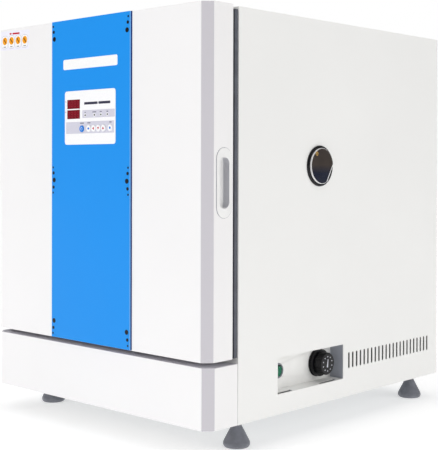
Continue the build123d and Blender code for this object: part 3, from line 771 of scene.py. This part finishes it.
def mark_outlines(x, z):
    """The mark of each other key, drawn round a point."""
    return {
        "mode": bar(4.6, 3.2, 1.4, (x, z)),
        "set": disc(2.1, (x, z), 24),
        "left": [(x - 2.8, z), (x + 1.8, z - 2.5), (x + 1.8, z + 2.5)],
        "down": [(x, z - 2.5), (x + 2.6, z + 1.9), (x - 2.6, z + 1.9)],
        "up": [(x, z + 2.5), (x - 2.6, z - 1.9), (x + 2.6, z - 1.9)],
    }


def add_key_marks():
    """A coloured mark on each key but the power key."""
    for name, ink in KEY_MARKS.items():
        key = name + "_key"
        middle = centre_of(key)
        outline = mark_outlines(middle.x, middle.z)[name]
        raised(name + "_mark", [outline], front_plane(key), INKS[ink], key)


def digit_segments(u, v):
    """The seven bars of one digit, drawn round a point."""
    segments = [bar(3.6, 0.8, 0.3, (u, v + rise)) for rise in (-4.2, 0, 4.2)]
    for reach in (-2.3, 2.3):
        segments += [bar(0.8, 3.4, 0.3, (u + reach, v + rise)) for rise in (-2.1, 2.1)]
    return segments


def add_display_digits():
    """Unlit seven-segment digits behind the red windows, four to a row."""
    low, high = corners_of("display_modules")
    segments = []
    for row in (low.z + ROW_HEIGHT / 2, high.z - ROW_HEIGHT / 2):
        for digit in range(4):
            segments += digit_segments(low.x + DIGIT_INSET + digit * DIGIT_PITCH, row)
    window = front_plane("display_modules")
    raised("display_segments", segments, window, INKS["segment_red"], "door", 0.06)


add_overlay_strips()
add_overlay_title()
add_overlay_captions()
add_lamp_halos()
add_display_dots()
add_power_mark()
add_key_marks()
add_display_digits()


# ---- pull, port, pocket and vent details ----
def add_pull_groove():
    """A grey hairline round the pull's plate: painted shade in the groove where it is pressed into the
    door's side.
    """
    pull = centre_of("handle_cup")
    middle = (pull.y, pull.z)
    groove = (bar(34, 106, 16.9, middle), bar(35.2, 107.2, 17.5, middle))
    bands("pull_groove", [groove], right_plane("door_shell"), INKS["ink_groove_shade"], "door", 0.1)


CHORD_TURN = -30.4
CHORD_REACH = 23.5


def add_chord_highlight():
    """A painted highlight: a near-white lip along the straight cut in the port's swing cover."""
    bezel = centre_of("port_bezel")
    turn = radians(CHORD_TURN)
    middle = (bezel.y + CHORD_REACH * cos(turn), bezel.z + CHORD_REACH * sin(turn))
    lip = turned_about(bar(1.5, 34, 0.6, middle), CHORD_TURN, middle)
    raised("cover_chord_highlight", [lip], right_plane("port_cover"), INKS["lip_highlight"], "port_cover", 0.15)


DOT_CIRCLE = 12.2
DOT_ARC = (54, 378)
POINTER_TURN = -8


def add_dial_marks():
    """Plain dots in the figures' places and a tapered pointer on the limiter dial."""
    face = right_plane("limiter_knob")
    middle = centre_of("limiter_knob")
    centre = (middle.y, middle.z)
    dots = [disc(1.05, spot, 16) for spot in arc(DOT_CIRCLE, *DOT_ARC, centre, 9)]
    raised("dial_dots", dots, face, INKS["dial_ink"], "limiter_knob", 0.1)
    u, v = centre
    pointer = [(u - 1.7, v - 6), (u + 1.7, v - 6), (u + 0.7, v + 7.5), (u - 0.7, v + 7.5)]
    pointer = turned_about(pointer, POINTER_TURN, centre)
    raised("dial_pointer", [pointer], face, INKS["dial_ink"], "limiter_knob", 0.1)


HEAD_REACH = 9


def head_centres(node):
    """The (x, z) middles, in millimetres, of a node's screw heads that show on the back."""
    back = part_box(node)[1][1]
    heads = []
    for vertex in NODES[node].data.vertices:
        if vertex.co.y < back - 0.1 * MM:
            continue
        x, z = vertex.co.x / MM, vertex.co.z / MM
        near = (h for h in heads if abs(h[0][0] - x) < HEAD_REACH and abs(h[0][1] - z) < HEAD_REACH)
        head = next(near, None)
        if head is None:
            heads.append([(x, z)])
        else:
            head.append((x, z))
    return [middle_of(head) for head in heads]


def middle_of(points):
    """The middle of the box round some points."""
    across = [point[0] for point in points]
    up = [point[1] for point in points]
    return (min(across) + max(across)) / 2, (min(up) + max(up)) / 2


def add_screw_marks():
    """Painted shade for the cross recesses in the heads on the back and the slot in the port's brass screw:
    flat dark marks.
    """
    back = Vector((0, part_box("panel_screws")[1][1], 0)), BACK
    crosses = []
    for x, z in head_centres("panel_screws"):
        for turn in (25, 115):
            crosses.append(turned_about(bar(3.4, 0.8, 0.3, (-x, z)), turn, (-x, z)))
    raised("screw_recess_shade", crosses, back, INKS["ink_recess_shade"], "cabinet", 0.03)
    screw = centre_of("port_pivot_screw")
    slot_bar = turned_about(bar(5.6, 0.9, 0.3, (screw.y, screw.z)), 35, (screw.y, screw.z))
    raised("port_screw_slot_shade", [slot_bar], right_plane("port_pivot_screw"), INKS["ink_recess_shade"], "cabinet", 0.03)


VENT_ROW = (276, 546)
VENT_HEIGHT = (44, 80)
SHADE_SHEET_THICKNESS = 0.5
SHADE_SHEET_GAP = 0.6


def add_vent_shade_sheets():
    """A near-black sheet behind the vents on the inside of each side panel: painted shade seen through the
    slots.
    """
    width = VENT_ROW[1] - VENT_ROW[0]
    height = VENT_HEIGHT[1] - VENT_HEIGHT[0]
    for node, side in (("right_side_panel", 1), ("left_side_panel", -1)):
        low, high = corners_of(node)
        inner = low.x if side > 0 else high.x
        middle = (low.y + VENT_ROW[0] + width / 2, low.z + VENT_HEIGHT[0] + height / 2)
        plane = Vector((inner - side * SHADE_SHEET_GAP, 0, 0)) * MM, RIGHT
        sheet = bar(width, height, 3, middle)
        raised(node + "_vent_shade", [sheet], plane, INKS["vent_shade_sheet"], "cabinet", SHADE_SHEET_THICKNESS)


add_pull_groove()
add_chord_highlight()
add_vent_shade_sheets()
add_dial_marks()
add_screw_marks()


# ---- floor, light and sky ----
FLOOR_SIZE = 30
FLOOR_STEPS = 6
SKY_LIGHT = 0.26


def add_floor():
    """A wide pale floor."""
    mesh_data = bmesh.new()
    lines = [FLOOR_SIZE * (i / FLOOR_STEPS - 0.5) for i in range(FLOOR_STEPS + 1)]
    grid = {(i, j): mesh_data.verts.new((x, y, 0)) for i, x in enumerate(lines) for j, y in enumerate(lines)}
    for i in range(FLOOR_STEPS):
        for j in range(FLOOR_STEPS):
            mesh_data.faces.new((grid[i, j], grid[i + 1, j], grid[i + 1, j + 1], grid[i, j + 1]))
    data = bpy.data.meshes.new("floor")
    mesh_data.to_mesh(data)
    mesh_data.free()
    floor = bpy.data.objects.new("floor", data)
    bpy.context.scene.collection.objects.link(floor)
    shader = Shader("floor_paint", "e0e0e0", 0.8)
    shader.mottle(3, 0.005).bump(shader.noise(60, 3), 0.0002, 0.2)
    shader.set(SPECULAR, 0.1)
    shader.set("Emission Color", (1, 1, 1, 1)).set("Emission Strength", 0.5)
    floor.data.materials.append(shader.material)


def add_sun(name, towards, strength, angle, colour=(1, 1, 1), glossy=True):
    """A very wide soft light; towards points from the object to the light."""
    data = bpy.data.lights.new(name, "SUN")
    data.energy = strength
    data.angle = radians(angle)
    data.color = colour
    light = bpy.data.objects.new(name, data)
    light.rotation_euler = Vector(towards).to_track_quat("Z", "Y").to_euler()
    light.visible_glossy = glossy
    bpy.context.scene.collection.objects.link(light)


def add_world():
    """A dim sky that lights the scene, shown white behind the object."""
    world = bpy.data.worlds.new("studio")
    world.use_nodes = True
    bpy.context.scene.world = world
    tree = world.node_tree
    tree.nodes.clear()
    output = tree.nodes.new("ShaderNodeOutputWorld")
    seen = tree.nodes.new("ShaderNodeBackground")
    seen.inputs["Color"].default_value = (1, 1, 1, 1)
    seen.inputs["Strength"].default_value = 1.0
    light = tree.nodes.new("ShaderNodeBackground")
    light.inputs["Color"].default_value = (0.98, 0.98, 1, 1)
    light.inputs["Strength"].default_value = SKY_LIGHT
    path = tree.nodes.new("ShaderNodeLightPath")
    mix = tree.nodes.new("ShaderNodeMixShader")
    tree.links.new(path.outputs["Is Camera Ray"], mix.inputs[0])
    tree.links.new(light.outputs["Background"], mix.inputs[1])
    tree.links.new(seen.outputs["Background"], mix.inputs[2])
    tree.links.new(mix.outputs["Shader"], output.inputs["Surface"])


add_floor()
add_sun("front_softbox", (-0.45, -0.85, 0.28), 1.31, 50, (1, 0.995, 0.985), glossy=False)
add_sun("side_softbox", (0.9, 0.38, 0.28), 1.07, 50, (1, 0.985, 0.97), glossy=False)
add_sun("ceiling_softbox", (-0.1, -0.1, 1), 1.0, 80)
add_world()
bpy.context.scene.view_settings.view_transform = "Standard"
